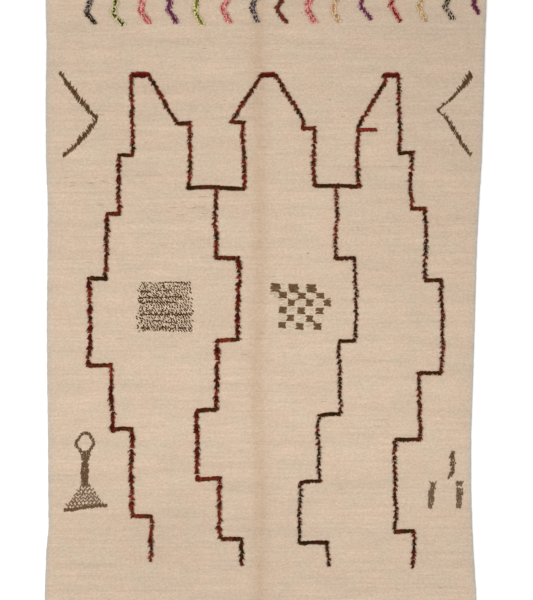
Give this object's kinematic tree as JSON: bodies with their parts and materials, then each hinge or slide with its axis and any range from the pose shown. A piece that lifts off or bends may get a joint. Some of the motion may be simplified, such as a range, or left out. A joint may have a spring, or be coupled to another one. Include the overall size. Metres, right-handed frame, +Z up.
{
  "type": "beni ourain rug",
  "caption": "Flat hand-woven wool rug with raised knotted lines, stepped peaks, chevrons and small signs on a plain cream ground.",
  "frame": {"origin": "middle of the rug's underside, on the floor", "axes": "+Z up out of the patterned face, +Y along the rug's length towards the row of small chevrons, +X across it"},
  "size_m": [1.5378, 2.5, 0.012],
  "materials": {
    "wool": "matt undyed cream sheep's wool, flat-woven, with short knotted pile in dark brown, red, grey-brown and bright colours along its lines and signs"
  },
  "bodies": {
    "root": {"rug": "wool"}
  },
  "joints": []
}
